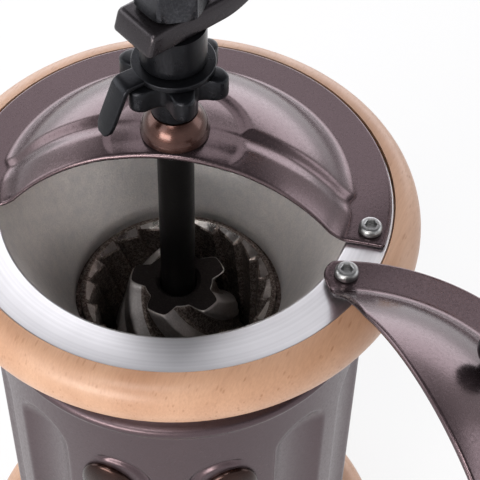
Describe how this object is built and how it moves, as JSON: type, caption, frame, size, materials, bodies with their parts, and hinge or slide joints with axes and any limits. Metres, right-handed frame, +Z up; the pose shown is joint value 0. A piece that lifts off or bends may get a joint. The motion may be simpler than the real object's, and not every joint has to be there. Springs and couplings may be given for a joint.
{
  "type": "manual coffee grinder",
  "caption": "Hand-cranked burr coffee mill with an open hopper under a half dome, a swing door, a fluted round body, a grounds drawer and a wooden base and ring.",
  "frame": {"origin": "centre of the foot pad's underside, on the crank's axis", "axes": "+Z up along the crank's axis; -Y is the front, where the grounds drawer opens; +X is on the right seen from the front"},
  "size_m": [0.155, 0.1873, 0.2778],
  "materials": {
    "beech": "turned beech with a clear satin varnish",
    "brown_paint": "metallic brown stove enamel with fine orange peel",
    "bronze_gloss": "glossy dark bronze lacquer",
    "cast_aluminium": "bead blasted cone with a turned, brushed flange",
    "burr_steel": "dark hardened iron with bright cut faces",
    "black_steel": "black oxide, satin",
    "zinc": "zinc plated",
    "tin_sheet": "plain bright sheet",
    "bearing_bronze": "sintered bronze",
    "foot_rubber": "matt"
  },
  "bodies": {
    "housing": {"foot_pad": "foot_rubber", "wood_base": "beech", "base_screw_1": "zinc", "base_screw_2": "zinc", "base_screw_3": "zinc", "body_shell": "brown_paint", "oval_boss_left": "bronze_gloss", "oval_boss_right": "bronze_gloss", "wood_ring": "beech", "ring_screw_1": "zinc", "ring_screw_2": "zinc", "ring_screw_3": "zinc", "hopper_bowl": "cast_aluminium", "burr_housing": "burr_steel", "grounds_funnel": "tin_sheet", "housing_screw_1": "zinc", "housing_screw_2": "zinc", "housing_screw_3": "zinc", "ring_burr": "burr_steel", "lower_spider": "black_steel", "lower_bush": "bearing_bronze", "spider_screw_1": "zinc", "spider_screw_2": "zinc", "spider_screw_3": "zinc", "drawer_guide": "tin_sheet", "guide_screw_1": "zinc", "guide_screw_2": "zinc", "hopper_cover": "brown_paint", "cover_screw_right": "black_steel", "cover_screw_left": "black_steel", "hub_bush": "bronze_gloss", "bush_ring": "zinc", "door_spacer": "zinc", "door_pivot_screw": "black_steel"},
    "crank": {"shaft": "black_steel", "cone_burr": "burr_steel", "burr_washer": "zinc", "burr_clip": "black_steel", "spring_washer": "zinc", "shaft_clip": "black_steel", "shaft_spring": "tin_sheet", "stopper_plate": "black_steel", "crank_arm": "brown_paint", "cap_nut": "black_steel", "knob_pin": "zinc"},
    "adjuster": {"adjusting_nut": "black_steel"},
    "knob": {"crank_knob": "beech"},
    "door": {"hopper_door": "brown_paint", "door_knob": "black_steel"},
    "drawer": {"drawer_box": "tin_sheet", "drawer_front": "brown_paint", "drawer_knob": "beech", "drawer_knob_nut": "zinc"}
  },
  "joints": [
    {"name": "crank_turn", "type": "hinge", "parent": "housing", "child": "crank", "pos_m": [0, 0, 0.2], "axis": [0, 0, 1], "continuous": true},
    {"name": "adjust_turn", "type": "hinge", "parent": "crank", "child": "adjuster", "pos_m": [0, 0, 0.206], "axis": [0, 0, 1], "range_deg": [-180, 180]},
    {"name": "knob_spin", "type": "hinge", "parent": "crank", "child": "knob", "pos_m": [0.08302, 0.07217, 0.25], "axis": [0, 0, 1], "continuous": true},
    {"name": "door_swing", "type": "hinge", "parent": "housing", "child": "door", "pos_m": [0.03664, -0.02307, 0.172], "axis": [0, 0, 1], "range_deg": [-122, 20]},
    {"name": "drawer_slide", "type": "slide", "parent": "housing", "child": "drawer", "axis": [0, -1, 0], "range_m": [0, 0.055]}
  ]
}
